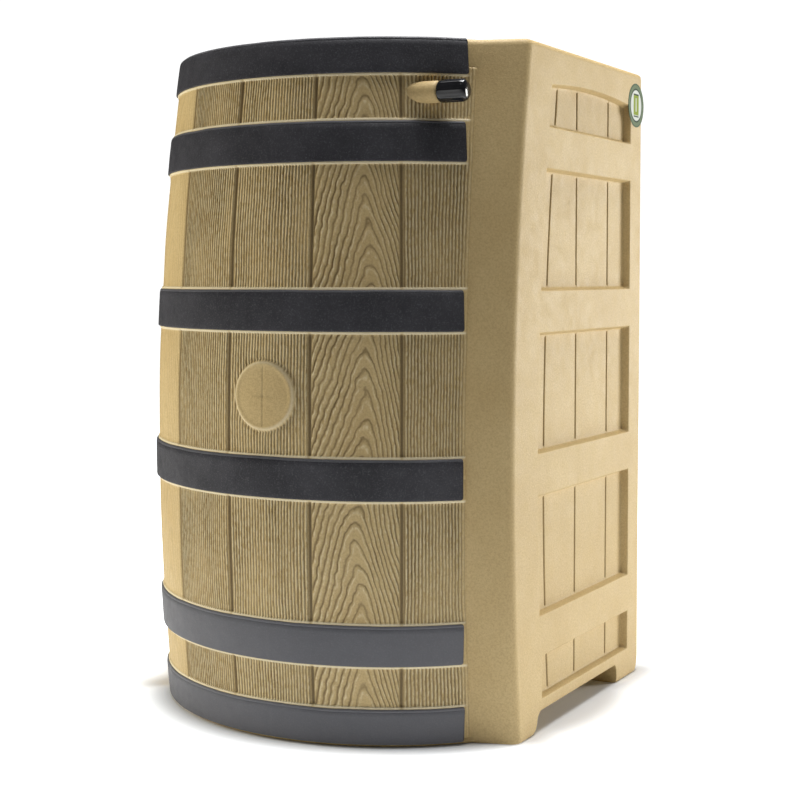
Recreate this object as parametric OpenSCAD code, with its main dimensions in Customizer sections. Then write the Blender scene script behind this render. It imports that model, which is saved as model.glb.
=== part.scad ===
// Flat-backed rain barrel moulded to look like a wooden cask.
// Units are millimetres. +Z is up, the staves face -Y and the flat back faces +Y.
// The origin is on the floor, midway between the barrel's two sides and its front and back.

/* [Tank] */
// Overall height of the tank
body_h = 840; // [800:5:880]
// Width between the two flat sides
body_w = 548; // [520:2:560]
// Largest radius of the stave front
bulge_r = 312.5; // [305:0.5:320]
// Height of the widest point above the floor
bulge_z = 336; // [300:2:380]
// Radius of the upright curve that every stave follows
stave_arc_r = 3680; // [3000:10:6000]
// Distance from the stave front's axis to the flat back
axis_to_back = 237.5; // [230:0.5:250]
// Thickness of the moulded wall
wall = 5; // [4:0.5:6]

/* [Corner post] */
// How far the post's widest point stands in front of the origin
post_front = 165.5; // [155:0.5:175]
// Angle by which the post's face turns back towards the side
post_angle = 17; // [10:1:30]
// Radius of the upright curve of the post
post_arc_r = 2720; // [2500:10:4000]

/* [Hoops] */
// Height that a hoop stands out of its rib
hoop_t = 2.5; // [1.5:0.5:4]
// Height that a rib stands out of the staves
rib_t = 1.5; // [1:0.5:3]
// Width of rib left showing along each edge of a hoop
rib_lip = 2.5; // [1:0.5:4]

/* [Side panels] */
// Depth of the recessed panels
panel_depth = 9.5; // [6:0.5:12]
// Width of the upright between the corner post and the panels
front_stile = 77; // [60:1:90]
// Width of the upright behind the panels
rear_stile = 52; // [40:1:70]
// Rise of the arch over the top panels
arch_rise = 7; // [4:0.5:10]
// Height of the gap between the feet
notch_h = 25; // [15:1:35]

/* [Top] */
// Depth of the tray in the top of the tank
tray_depth = 38; // [30:1:42]
// Thickness of the raised rim round the tray
rim_t = 14; // [10:1:20]
// Radius of the inlet hole
inlet_r = 88; // [70:1:95]
// Depth of the strainer basket below its flange
basket_h = 80; // [40:1:120]

/* [Fittings] */
// Radius of the male hose thread on the spigot
hose_thread_r = 13.3; // [13:0.1:13.5]
// Height of the spigot's axis above the floor
spigot_z = 118; // [116:1:120]
// Position of the spigot along the left side
spigot_y = 100; // [80:1:140]
// Height of the overflow's axis above the floor
overflow_z = 774; // [772:1:776]

/* [Hidden] */
$fn = 96;
eps = 0.5;
round_fn = 240;
arc_fn = 1440;
steps = 14;
half_w = body_w / 2;
body_d = bulge_r + axis_to_back;
axis_y = (bulge_r - axis_to_back) / 2;
back_y = axis_y + axis_to_back;
shell_tan = [0.78, 0.69, 0.49];
band_grey = [0.18, 0.18, 0.21];
black = [0.05, 0.05, 0.055];
brass = [0.80, 0.62, 0.28];
steel = [0.75, 0.76, 0.78];
rubber = [0.08, 0.08, 0.08];

// Lower and upper edge of each hoop, from the rim down to the floor
hoop_edges = [[797, 840], [693, 741], [494, 543], [296, 345], [99, 148], [4, 47]];
// Lower and upper edge of each recessed panel
panel_edges = [[741, 792], [542, 690], [344, 490], [144, 292], [40, 93]];
// Distance of each stave joint from the front centre line, at the widest point
stave_joints = [-232, -155, -54.5, 60, 162.5];
// Positions of the joints between the planks of the right, left and back panels
right_planks = [-42, 52, 162];
left_planks = [26, 102, 178];
back_planks = [-150, -50, 50, 150];
left_panel_front = -20;
back_panel_half = 214;
left_flat_front = -60;
left_corner_r = 25;
back_corner_r = 14;
stave_end_x = 235;
post_reach = 150;
post_depth = 260;
post_short = 0.1;
groove_w = 5;
groove_depth = 2.5;
foot_front_y = -85;
foot_back_y = 182;
notch_in = 60;
foot_r = 25;
bung_r = 42.5;
bung_z = 417;
bung_t = 2.5;
floor_t = 6;
deck_z = body_h - tray_depth;
hoop_end_x = 222.5;
hoop_gap = 0.1;
hoop_left_angle = 57;

// Overflow, along +X
overflow_y = -191;
boss_end = 192;
boss_r = 13;
boss_in = 150;
nipple_r = 9.5;
nipple_bore = 6.5;
nipple_end = 222;
nipple_in = 146;
cap_r = 13.4;
cap_end = 229;
cap_gap = 0.5;
cap_bore = 9.58;
cap_ribs = 16;
cap_rib_r = 1.2;
washer_t = 2;

// Inlet, round the stave front's axis
gasket_t = 2;
collar_t = 4;
collar_flange_r = 104;
collar_bore = 84;
collar_depth = 30;
screw_ring_r = 97;
screw_count = 6;
screw_r = 2;
screw_head_r = 4.5;
screw_head_h = 3;
basket_flange_r = 89;
basket_flange_t = 3;
basket_r = 82;
basket_t = 3;
basket_slots = 24;
basket_slot_w = 8;
mesh_t = 0.8;
grip_w = 12;
grip_h = 14;

// Spigot, in its own frame: the axis is +X out of the wall, and x is 0 at the wall's outer face
sp_flange_r = 20;
sp_shank_r = 13;
sp_bore = 8;
sp_in = -28;
sp_gasket_t = 2.5;
sp_flange_t = 5.5;
sp_body_r = 17;
sp_body_end = 44;
sp_ball_x = 26;
sp_ball_r = 12;
sp_ball_gap = 0.3;
sp_chamber_r = 13;
sp_chamber_x = 13;
sp_seat_end = 39;
sp_hex_end = 52;
sp_hex_r = 19;
sp_thread_end = 72;
sp_thread_start = 56;
sp_neck_top = 27;
sp_neck_r = 9.5;
sp_stem_r = 4.5;
sp_run = 0.05;
sp_packing_r = 7;
sp_packing_z = 19;
sp_packing_h = 5;
sp_nut_top = 33;
sp_nut_r = 11;
sp_lever_z = 34;
sp_lever_t = 3;
sp_lever_w = 14;
sp_lever_len = 66;
sp_lever_rise = 8;
sp_lever_nut_h = 5;
sp_washer_t = 2.5;
sp_locknut_t = 9;
sp_locknut_r = 20;
sp_slot_w = 5;

// Sideways drop of a curve of radius r at height z, measured from its widest point
function sag(r, z) = r - sqrt(r * r - pow(z - bulge_z, 2));
// Radius of the stave front at height z
function stave_r(z) = bulge_r - sag(stave_arc_r, z);
// How far the corner post's sharp edge stands in front of the origin at height z
function post_y(z) = -post_front + sag(post_arc_r, z);
// Straight line through the staves at a hoop's two edges, with an offset
function band_r(edge, z, off) =
    off + stave_r(edge[0]) + (stave_r(edge[1]) - stave_r(edge[0])) * (z - edge[0]) / (edge[1] - edge[0]);
// Sideways place of a stave joint at height z: the joints close up as the staves narrow
function joint_x(x, z) = x * stave_r(z) / bulge_r;
// Right end of the hoop with these edges, which stays in front of the corner post
function hoop_end(edge) = hoop_end_x * (1 + stave_r((edge[0] + edge[1]) / 2) / bulge_r) / 2;

// Solid of the stave front, a full round, off outside the true surface
module stave_round(off, z0, z1) {
    translate([0, axis_y, 0])
        rotate_extrude($fn = round_fn)
            intersection() {
                translate([0, z0])
                    square([body_d, z1 - z0]);
                translate([bulge_r - stave_arc_r + off, bulge_z])
                    circle(r = stave_arc_r, $fn = arc_fn);
            }
}

// Everything between the two flat sides and in front of the flat back
module envelope(inset, z0, z1) {
    translate([-half_w + inset, -body_d, z0])
        cube([body_w - 2 * inset, body_d + back_y - inset, z1 - z0]);
}

// Corner post: its face turns back towards the right side and follows the staves' curve.
// Its hollow stops a little short of the floor and the deck
module corner_post(inset, z0, z1) {
    intersection() {
        translate([half_w, -post_front, 0])
            rotate([90, 0, 90 + post_angle])
                translate([0, 0, -post_reach])
                    linear_extrude(post_reach + 60)
                        intersection() {
                            translate([-50, z0])
                                square([post_depth + 50, z1 - z0]);
                            translate([post_arc_r + inset, bulge_z])
                                circle(r = post_arc_r, $fn = arc_fn);
                        }
        envelope(inset, z0 + post_short * inset, z1 - post_short * inset);
    }
}

// Square rear half of the tank, with round upright corners
module rear_block(inset, z0, z1) {
    r = left_corner_r;
    c = back_corner_r;
    left = -half_w + inset;
    right = half_w - inset;
    front = left_flat_front + inset;
    back = back_y - inset;
    translate([0, 0, z0])
        linear_extrude(z1 - z0) {
            translate([left + r, front])
                square([right - left - r, 100]);
            translate([left, front + r])
                square([right - left, back - front - r - c]);
            translate([left + c, back - c - 1])
                square([right - left - 2 * c, c + 1]);
            translate([left + r, front + r])
                circle(r);
            for (x = [left + c, right - c])
                translate([x, back - c])
                    circle(c);
        }
}

// Whole outer form of the tank, drawn in by inset
module tank_form(inset, z0, z1) {
    union() {
        intersection() {
            stave_round(-inset, z0, z1);
            translate([-half_w + inset, -body_d, z0])
                cube([half_w - inset + stave_end_x, body_d + back_y - inset, z1 - z0]);
        }
        corner_post(inset, z0, z1);
        rear_block(inset, z0, z1);
    }
}

// Outline of the open tray in the top, which has upright walls
module tray_outline() {
    right = half_w - rim_t;
    face_y = post_y(body_h) + rim_t * (cos(post_angle) - (1 - sin(post_angle)) * tan(post_angle));
    back = back_y - rim_t;
    intersection() {
        translate([-right, -body_d])
            square([2 * right, body_d + back]);
        union() {
            translate([0, axis_y])
                circle(stave_r(body_h) - rim_t, $fn = round_fn);
            polygon([[right + 1, face_y + tan(post_angle)], [right - post_reach / 2,
                face_y - post_reach / 2 * tan(post_angle)], [0, 0], [right + 1, back]]);
            translate([-right - 1, left_flat_front + rim_t])
                square([2 * right + 2, body_d]);
        }
    }
}

// Outline of a recessed panel, in the plane of its side: front and rear ends, floor and head
module panel_outline(front, rear, edge, rise, grow) {
    n = 8;
    z0 = edge[0] - grow;
    z1 = edge[1] + grow;
    polygon(concat(
        [for (i = [0:4]) let (z = z0 + (z1 - z0) * i / 4) [(front ? post_y(z) + front_stile
            : left_panel_front) - grow, z]],
        [for (i = [1:n - 1]) let (t = i / n, a = post_y(z1) + front_stile, y0 = front ? a : left_panel_front)
            [y0 + (rear - y0) * t, z1 + rise * 4 * t * (1 - t)]],
        [[rear + grow, z1], [rear + grow, z0]]));
}

// Recesses of the two flat sides; grow and deep make the matching blocks inside the tank
module side_panels(grow, deep) {
    for (i = [0:len(panel_edges) - 1]) {
        rise = i == 0 ? arch_rise : 0.01;
        translate([half_w - panel_depth - deep, 0, 0])
            rotate([90, 0, 90])
                linear_extrude(panel_depth + deep + eps)
                    panel_outline(true, back_y - rear_stile, panel_edges[i], rise, grow);
        translate([-half_w - eps, 0, 0])
            rotate([90, 0, 90])
                linear_extrude(panel_depth + deep + eps)
                    panel_outline(false, back_y - rear_stile, panel_edges[i], rise, grow);
    }
}

// Recesses of the flat back
module back_panels(grow, deep) {
    for (edge = panel_edges)
        translate([-back_panel_half - grow, back_y - panel_depth - deep, edge[0] - grow])
            cube([2 * (back_panel_half + grow), panel_depth + deep + eps, edge[1] - edge[0] + 2 * grow]);
}

// One upright V-shaped joint between two planks
module plank_joint(x, y, edge) {
    side = groove_depth * sqrt(2);
    translate([x, y, edge[0] + 1])
        rotate([0, 0, 45])
            translate([-side / 2, -side / 2, 0])
                cube([side, side, edge[1] - edge[0] - 2]);
}

// Joints between the planks in every recessed panel
module plank_joints() {
    for (edge = panel_edges) {
        for (y = right_planks)
            plank_joint(half_w - panel_depth, y, edge);
        for (y = left_planks)
            plank_joint(-half_w + panel_depth, y, edge);
        for (x = back_planks)
            plank_joint(x, back_y - panel_depth, edge);
    }
}

// Shallow grooves between the staves of the front
module stave_grooves() {
    intersection() {
        difference() {
            stave_round(wall, -eps, deck_z);
            stave_round(-groove_depth, -2 * eps, deck_z + eps);
        }
        for (x = stave_joints)
            translate([0, axis_y, 0])
                rotate([90, 0, 0])
                    linear_extrude(body_d)
                        polygon(concat(
                            [for (i = [0:steps]) let (z = body_h * i / steps)
                                [joint_x(x, z) - groove_w / 2, z]],
                            [for (i = [steps:-1:0]) let (z = body_h * i / steps)
                                [joint_x(x, z) + groove_w / 2, z]]));
    }
}

// The stretch of the front that a hoop or its rib covers
module hoop_sector(edge, more) {
    angle_box = 2 * body_d;
    intersection() {
        translate([-body_d, -body_d, -eps])
            cube([body_d + hoop_end(edge) + more, body_d + axis_y, body_h + 2 * eps]);
        translate([0, axis_y, -eps])
            rotate([0, 0, 90 - hoop_left_angle])
                translate([-angle_box / 2, -angle_box - more, 0])
                    cube([angle_box, angle_box + more, body_h + 2 * eps]);
        envelope(1, -eps, body_h + eps);
    }
}

// Conical band between two offsets from the staves
module band(edge, inner, outer, lip) {
    z0 = max(edge[0] - lip, 0);
    z1 = min(edge[1] + lip, body_h);
    translate([0, axis_y, 0])
        rotate_extrude($fn = round_fn)
            polygon([[band_r(edge, z0, inner), z0], [band_r(edge, z0, outer), z0],
                [band_r(edge, z1, outer), z1], [band_r(edge, z1, inner), z1]]);
}

module hoop(i) {
    color(band_grey)
        intersection() {
            band(hoop_edges[i], rib_t + hoop_gap, rib_t + hoop_t, 0);
            hoop_sector(hoop_edges[i], 0);
        }
}

// Raised ribs that the hoops sit on
module hoop_ribs() {
    for (edge = hoop_edges)
        intersection() {
            band(edge, -wall / 2, rib_t, rib_lip);
            hoop_sector(edge, rib_lip);
        }
}

// Raised disc on the front, where a cask has its bung
module bung_disc() {
    intersection() {
        stave_round(bung_t, 0, body_h);
        translate([0, axis_y, bung_z])
            rotate([90, 0, 0])
                cylinder(h = body_d, r = bung_r);
    }
}

// Gap under each side between the front and rear feet
module foot_notches(grow) {
    for (x = [-half_w - eps, half_w - notch_in - grow])
        translate([x, 0, 0])
            rotate([90, 0, 90])
                linear_extrude(notch_in + grow + eps) {
                    translate([foot_front_y - grow, -eps])
                        square([foot_back_y - foot_front_y + 2 * grow, notch_h + grow + eps]);
                    difference() {
                        translate([foot_front_y - foot_r, -eps])
                            square([foot_r + 1, foot_r + eps]);
                        translate([foot_front_y - foot_r, foot_r])
                            circle(foot_r + grow);
                    }
                }
}

module overflow_axis(x) {
    translate([x, overflow_y, overflow_z])
        rotate([0, 90, 0])
            children();
}

// Places its children in the spigot's own frame
module spigot_frame() {
    translate([-half_w, spigot_y, spigot_z])
        rotate([0, 0, 180])
            children();
}

// Solid round along the spigot's axis
module spigot_rod(x0, x1, r) {
    translate([x0, 0, 0])
        rotate([0, 90, 0])
            cylinder(h = x1 - x0, r = r);
}

module tank_shell() {
    color(shell_tan)
        difference() {
            union() {
                difference() {
                    tank_form(0, 0, body_h);
                    stave_grooves();
                    side_panels(0, 0);
                    back_panels(0, 0);
                    plank_joints();
                }
                hoop_ribs();
                bung_disc();
                overflow_axis(boss_in)
                    cylinder(h = boss_end - boss_in, r = boss_r);
            }
            difference() {
                tank_form(wall, floor_t, deck_z - wall);
                side_panels(wall, wall);
                back_panels(wall, wall);
                foot_notches(wall);
                overflow_axis(boss_in)
                    cylinder(h = boss_end - boss_in, r = boss_r);
            }
            translate([0, 0, deck_z])
                linear_extrude(tray_depth + eps)
                    tray_outline();
            foot_notches(0);
            overflow_axis(boss_in - 10)
                cylinder(h = boss_end - boss_in + 11, r = nipple_r);
            translate([0, axis_y, deck_z - wall - eps])
                cylinder(h = wall + 2 * eps, r = inlet_r);
            translate([0, axis_y, deck_z - wall - eps])
                screw_places()
                    cylinder(h = wall + 2 * eps, r = screw_r + 0.02, $fn = 32);
            spigot_frame()
                spigot_rod(-wall - eps, eps, sp_shank_r + 0.2);
        }
}

module side_label() {
    color([0.85, 0.88, 0.82])
        translate([half_w, back_y - 32, 795])
            rotate([0, 90, 0])
                cylinder(h = 0.4, r = 30);
}

module overflow_nipple() {
    color(black)
        overflow_axis(nipple_in)
            difference() {
                cylinder(h = nipple_end - nipple_in, r = nipple_r);
                translate([0, 0, -eps])
                    cylinder(h = nipple_end - nipple_in + 2 * eps, r = nipple_bore);
            }
}

module overflow_washer() {
    color(rubber)
        overflow_axis(nipple_end)
            cylinder(h = washer_t, r = nipple_r - 0.3);
}

// Screw cap with grip ribs, closed at its outer end
module overflow_cap() {
    start = boss_end + cap_gap;
    color(black)
        overflow_axis(start)
            difference() {
                union() {
                    cylinder(h = cap_end - start, r = cap_r - cap_rib_r / 2);
                    for (i = [0:cap_ribs - 1])
                        rotate([0, 0, i * 360 / cap_ribs])
                            translate([cap_r - cap_rib_r, 0, 2])
                                cylinder(h = cap_end - start - 5, r = cap_rib_r, $fn = 24);
                }
                translate([0, 0, -eps])
                    cylinder(h = nipple_end + washer_t - start + eps, r = cap_bore);
            }
}

// Puts its children at each of the collar's screws
module screw_places() {
    for (i = [0:screw_count - 1])
        rotate([0, 0, 30 + i * 360 / screw_count])
            translate([screw_ring_r, 0, 0])
                children();
}

module inlet_gasket() {
    color(rubber)
        translate([0, axis_y, deck_z])
            difference() {
                cylinder(h = gasket_t, r = collar_flange_r);
                translate([0, 0, -eps])
                    cylinder(h = gasket_t + 2 * eps, r = inlet_r);
                translate([0, 0, -eps])
                    screw_places()
                        cylinder(h = gasket_t + 2 * eps, r = screw_r + 0.3, $fn = 32);
            }
}

module inlet_collar() {
    color(black)
        translate([0, axis_y, deck_z + gasket_t])
            difference() {
                union() {
                    cylinder(h = collar_t, r = collar_flange_r);
                    translate([0, 0, -collar_depth])
                        cylinder(h = collar_depth, r = inlet_r - 0.5);
                }
                translate([0, 0, -collar_depth - eps])
                    cylinder(h = collar_depth + collar_t + 2 * eps, r = collar_bore);
                translate([0, 0, -eps])
                    screw_places()
                        cylinder(h = collar_t + 2 * eps, r = screw_r + 0.3, $fn = 32);
            }
}

// Six pan-head screws through the collar and gasket into the deck
module inlet_screws() {
    color(steel)
        translate([0, axis_y, deck_z + gasket_t + collar_t])
            screw_places() {
                difference() {
                    cylinder(h = screw_head_h, r = screw_head_r, $fn = 32);
                    for (a = [0, 90])
                        rotate([0, 0, a])
                            translate([-3, -0.5, screw_head_h - 1.2])
                                cube([6, 1, 2]);
                }
                translate([0, 0, -gasket_t - collar_t - wall])
                    cylinder(h = gasket_t + collar_t + wall, r = screw_r, $fn = 32);
            }
}

// Drop-in basket: a flange that rests on the collar, slotted wall, barred floor and a grip
module strainer_basket() {
    flange_z = deck_z + gasket_t + collar_t;
    floor_z = flange_z - basket_h;
    color(black)
        translate([0, axis_y, 0])
            union() {
                difference() {
                    union() {
                        translate([0, 0, flange_z])
                            cylinder(h = basket_flange_t, r = basket_flange_r);
                        translate([0, 0, floor_z])
                            cylinder(h = basket_h, r = basket_r);
                    }
                    translate([0, 0, floor_z + basket_t])
                        cylinder(h = basket_h + basket_flange_t, r = basket_r - basket_t);
                    for (i = [0:basket_slots - 1])
                        rotate([0, 0, i * 360 / basket_slots])
                            translate([basket_r - basket_t - 2, -basket_slot_w / 2, floor_z + 10])
                                cube([basket_t + 4, basket_slot_w, basket_h - 30]);
                    for (x = [-60:20:60])
                        translate([x - 7, -sqrt(pow(basket_r - 8, 2) - x * x), floor_z - eps])
                            cube([14, 2 * sqrt(pow(basket_r - 8, 2) - x * x), basket_t + 2 * eps]);
                }
                translate([-grip_w / 2, -basket_r + basket_t / 2, flange_z - grip_h + basket_flange_t])
                    cube([grip_w, 2 * basket_r - basket_t, 4]);
                translate([-basket_t / 2, -basket_r + basket_t / 2, flange_z - grip_h + basket_flange_t])
                    cube([basket_t, 2 * basket_r - basket_t, grip_h]);
            }
}

// Fine mesh liner inside the basket
module strainer_mesh() {
    floor_z = deck_z + gasket_t + collar_t - basket_h + basket_t;
    color(steel)
        translate([0, axis_y, floor_z])
            difference() {
                cylinder(h = basket_h - 22, r = basket_r - basket_t);
                translate([0, 0, mesh_t])
                    cylinder(h = basket_h, r = basket_r - basket_t - mesh_t);
            }
}

module spigot_gasket() {
    color(rubber)
        spigot_frame()
            difference() {
                spigot_rod(0, sp_gasket_t, sp_flange_r);
                spigot_rod(-eps, sp_gasket_t + eps, sp_shank_r);
            }
}

module spigot_inner_washer() {
    color(rubber)
        spigot_frame()
            difference() {
                spigot_rod(-wall - sp_washer_t, -wall, sp_flange_r);
                spigot_rod(-wall - sp_washer_t - eps, -wall + eps, sp_shank_r);
            }
}

module spigot_locknut() {
    x0 = -wall - sp_washer_t - sp_locknut_t;
    color(brass)
        spigot_frame()
            difference() {
                translate([x0, 0, 0])
                    rotate([0, 90, 0])
                        cylinder(h = sp_locknut_t, r = sp_locknut_r, $fn = 6);
                spigot_rod(x0 - eps, x0 + sp_locknut_t + eps, sp_shank_r);
            }
}

// Valve body: threaded shank through the wall, flange, ball chamber and stem neck
module spigot_body() {
    color(brass)
        spigot_frame()
            difference() {
                union() {
                    spigot_rod(sp_in, sp_body_end, sp_shank_r);
                    spigot_rod(sp_gasket_t, sp_gasket_t + sp_flange_t, sp_flange_r);
                    spigot_rod(sp_gasket_t + sp_flange_t, sp_body_end, sp_body_r);
                    translate([sp_ball_x, 0, 0])
                        cylinder(h = sp_neck_top, r = sp_neck_r);
                }
                spigot_rod(sp_in - eps, sp_body_end, sp_bore);
                spigot_rod(sp_chamber_x, sp_body_end + eps, sp_chamber_r);
                translate([sp_ball_x, 0, 0])
                    cylinder(h = sp_neck_top + eps, r = sp_stem_r + sp_run);
                translate([sp_ball_x, 0, sp_packing_z])
                    cylinder(h = sp_neck_top, r = sp_packing_r);
            }
}

// End connector that closes the ball chamber and carries the male hose thread
module spigot_outlet() {
    color(brass)
        spigot_frame()
            difference() {
                union() {
                    spigot_rod(sp_seat_end, sp_body_end, sp_chamber_r);
                    translate([sp_body_end, 0, 0])
                        rotate([0, 90, 0])
                            cylinder(h = sp_hex_end - sp_body_end, r = sp_hex_r, $fn = 6);
                    spigot_rod(sp_hex_end, sp_thread_start, hose_thread_r - 2);
                    spigot_rod(sp_thread_start, sp_thread_end, hose_thread_r);
                }
                spigot_rod(sp_seat_end - eps, sp_thread_end + eps, sp_bore);
            }
}

// Two ring seats, one on each side of the ball
module spigot_ball_seats() {
    color("white")
        spigot_frame()
            difference() {
                union() {
                    spigot_rod(sp_chamber_x, sp_chamber_x + 6, sp_chamber_r);
                    spigot_rod(sp_seat_end - 6, sp_seat_end, sp_chamber_r);
                }
                spigot_rod(sp_chamber_x - eps, sp_seat_end + eps, sp_bore);
                translate([sp_ball_x, 0, 0])
                    sphere(r = sp_ball_r + sp_ball_gap);
            }
}

// Ball in its closed position: its bore lies across the flow
module spigot_ball() {
    color(steel)
        spigot_frame()
            translate([sp_ball_x, 0, 0])
                difference() {
                    sphere(r = sp_ball_r);
                    rotate([90, 0, 0])
                        cylinder(h = 4 * sp_ball_r, r = sp_bore, center = true);
                    translate([-sp_ball_r, -sp_slot_w / 2, sp_bore + 1])
                        cube([2 * sp_ball_r, sp_slot_w, sp_ball_r]);
                }
}

// Stem: tongue in the ball's slot, round shaft through the packing, flats for the lever
module spigot_stem() {
    color(steel)
        spigot_frame()
            translate([sp_ball_x, 0, 0]) {
                translate([-3.5, -sp_slot_w / 2 + 0.1, sp_bore + 1.1])
                    cube([7, sp_slot_w - 0.2, 4.9]);
                translate([0, 0, sp_bore + 5])
                    cylinder(h = sp_lever_z - sp_bore - 5, r = sp_stem_r);
                translate([0, 0, sp_lever_z])
                    cylinder(h = sp_lever_t + sp_lever_nut_h + 1, r = 3);
            }
}

module spigot_packing() {
    color("white")
        spigot_frame()
            translate([sp_ball_x, 0, sp_packing_z])
                difference() {
                    cylinder(h = sp_packing_h, r = sp_packing_r - sp_run);
                    translate([0, 0, -eps])
                        cylinder(h = sp_packing_h + 2 * eps, r = sp_stem_r + sp_run);
                }
}

module spigot_packing_nut() {
    color(brass)
        spigot_frame()
            translate([sp_ball_x, 0, 0])
                difference() {
                    union() {
                        translate([0, 0, sp_packing_z + sp_packing_h])
                            cylinder(h = sp_nut_top - sp_packing_z - sp_packing_h, r = sp_packing_r - sp_run);
                        translate([0, 0, sp_neck_top])
                            cylinder(h = sp_nut_top - sp_neck_top, r = sp_nut_r, $fn = 6);
                    }
                    translate([0, 0, sp_packing_z])
                        cylinder(h = sp_nut_top, r = sp_stem_r + sp_run);
                }
}

// Flat cranked lever, closed: it lies along the wall
module lever_profile(t, from) {
    polygon([[from, 0], [26, 0], [36, sp_lever_rise], [sp_lever_len, sp_lever_rise],
        [sp_lever_len, sp_lever_rise + t], [36 - t * 0.4, sp_lever_rise + t], [26 - t * 0.4, t], [from, t]]);
}

module spigot_lever() {
    color(steel)
        spigot_frame()
            translate([sp_ball_x, 0, sp_lever_z])
                difference() {
                    rotate([90, 0, -90])
                        translate([0, 0, -sp_lever_w / 2])
                            linear_extrude(sp_lever_w)
                                lever_profile(sp_lever_t, -10);
                    translate([0, 0, -eps])
                        cylinder(h = sp_lever_t + 2 * eps, r = 3);
                }
}

// Soft sleeve over the far end of the lever
module spigot_lever_grip() {
    color(black)
        spigot_frame()
            translate([sp_ball_x, -38, sp_lever_z + sp_lever_rise - 1.5])
                difference() {
                    translate([-sp_lever_w / 2 - 1.5, -sp_lever_len + 38 - 2, 0])
                        cube([sp_lever_w + 3, sp_lever_len - 38 + 2, sp_lever_t + 3]);
                    translate([-sp_lever_w / 2, -sp_lever_len + 38, 1.5])
                        cube([sp_lever_w, sp_lever_len, sp_lever_t]);
                }
}

module spigot_lever_nut() {
    color(steel)
        spigot_frame()
            translate([sp_ball_x, 0, sp_lever_z + sp_lever_t])
                difference() {
                    cylinder(h = sp_lever_nut_h, r = 5.8, $fn = 6);
                    translate([0, 0, -eps])
                        cylinder(h = sp_lever_nut_h + 2 * eps, r = 3);
                }
}

tank_shell();
hoop(0);  // hoop_1
hoop(1);  // hoop_2
hoop(2);  // hoop_3
hoop(3);  // hoop_4
hoop(4);  // hoop_5
hoop(5);  // hoop_6
side_label();
overflow_nipple();
overflow_washer();
overflow_cap();
inlet_gasket();
inlet_collar();
inlet_screws();
strainer_basket();
strainer_mesh();
spigot_gasket();
spigot_inner_washer();
spigot_locknut();
spigot_body();
spigot_outlet();
spigot_ball_seats();
spigot_ball();
spigot_stem();
spigot_packing();
spigot_packing_nut();
spigot_lever();
spigot_lever_grip();
spigot_lever_nut();
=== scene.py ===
import math

import bpy
import numpy as np
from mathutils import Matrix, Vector
from mathutils.geometry import tessellate_polygon


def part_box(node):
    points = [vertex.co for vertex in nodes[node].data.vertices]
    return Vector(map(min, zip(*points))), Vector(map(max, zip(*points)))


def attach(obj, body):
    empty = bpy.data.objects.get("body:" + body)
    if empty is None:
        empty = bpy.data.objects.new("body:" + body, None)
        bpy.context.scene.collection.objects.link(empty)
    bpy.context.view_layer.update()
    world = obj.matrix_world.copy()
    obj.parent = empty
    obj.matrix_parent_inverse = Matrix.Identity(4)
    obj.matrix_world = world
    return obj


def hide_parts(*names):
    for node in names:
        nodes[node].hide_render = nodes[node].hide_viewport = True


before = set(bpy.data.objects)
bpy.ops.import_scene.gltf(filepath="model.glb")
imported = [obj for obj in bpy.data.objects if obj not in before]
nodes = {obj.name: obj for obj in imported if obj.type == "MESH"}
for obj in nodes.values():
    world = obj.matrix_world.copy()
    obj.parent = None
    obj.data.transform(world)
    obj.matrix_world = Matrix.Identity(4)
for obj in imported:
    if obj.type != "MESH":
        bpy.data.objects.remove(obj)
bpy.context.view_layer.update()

# ---------------------------------------------------------------- sizes, in millimetres
MM = 0.001
BODY_H = 840.0
HALF_W = 274.0
BULGE_R = 312.5
BULGE_Z = 336.0
STAVE_ARC_R = 3680.0
AXIS_Y = 37.5
BACK_Y = 275.0
POST_FRONT = 165.5
POST_ARC_R = 2720.0
POST_ANGLE = math.radians(17)
POST_CORNER_R = 15.0
BACK_CORNER_R = 14.0
LEFT_ANGLE = math.radians(-58)
INLET_R = 88.0
INNER_INSET = 20.0
VENEER_T = 4.0
VENEER_Z = (8.0, 806.0)
HOOP_OUT = 4.0
LIP_T = 1.5
LIP_W = 2.5
HOOP_LEFT = math.radians(-57)
HOOP_END_X = 222.5
HOOP_EDGES = [(797, 840), (693, 741), (494, 543), (296, 345), (99, 148), (4, 47)]
PANEL_EDGES = [(741, 792), (542, 690), (344, 490), (144, 292), (40, 93)]
PANEL_DEPTH = 9.5
FRONT_STILE = 77.0
PANEL_REAR = 223.0
ARCH_RISE = 7.0
RIGHT_PLANKS = [52, 162]
LEFT_PLANKS = [26, 102, 178]
LEFT_PANEL_FRONT = -20.0
BACK_PLANKS = [-150, -50, 50, 150]
BACK_PANEL_HALF = 214.0
STAVE_JOINTS = [-232, -155, -54.5, 60, 162.5]
FAINT_JOINT = -155
# Staves with arched grain: number, the arches' middle, spacing to the side and upwards, seed, and how thin
# and how strong the lines are
FLAMES = ((4, 66.0, 6.0, 25.0, 21, 0.22, 1.0), (1, 50.0, 9.5, 52.0, 31, 0.9, 0.26))
BUNG_R = 42.5
BUNG_Z = 417.0
BUNG_T = 3.0
NOTCH_X = 214.0
FOOT_BACK_Y = 182.0
OVERFLOW_Y = -191.0
OVERFLOW_Z = 774.0
BOSS_END = 192.0
# Above this height the front edge of a right panel runs straight up
EDGE_TOP_Z = 792
# The arch of the top panels: heights where it sets in, is whole, and has faded out
ARCH_Z, ARCH_SHARE = [768, 785, 794, 825], [0, 1, 1, 0]
# The gap between the feet ends at this height, and the columns of a side keep their places up to this Y
NOTCH_Z = 25
KEPT_Y = 200
# The feet: where the front one ends, its rounding and the height that starts at, and the rear one's rounding
FOOT_FRONT_Y = -86.0
FOOT_ROUND = 22.0
FOOT_ROUND_Z = 17.0
BACK_FOOT_R = 25
# Distances of the columns beside each end of that gap
NOTCH_COLS = (-2.4, -0.9, -0.2, 0.3)

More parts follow.
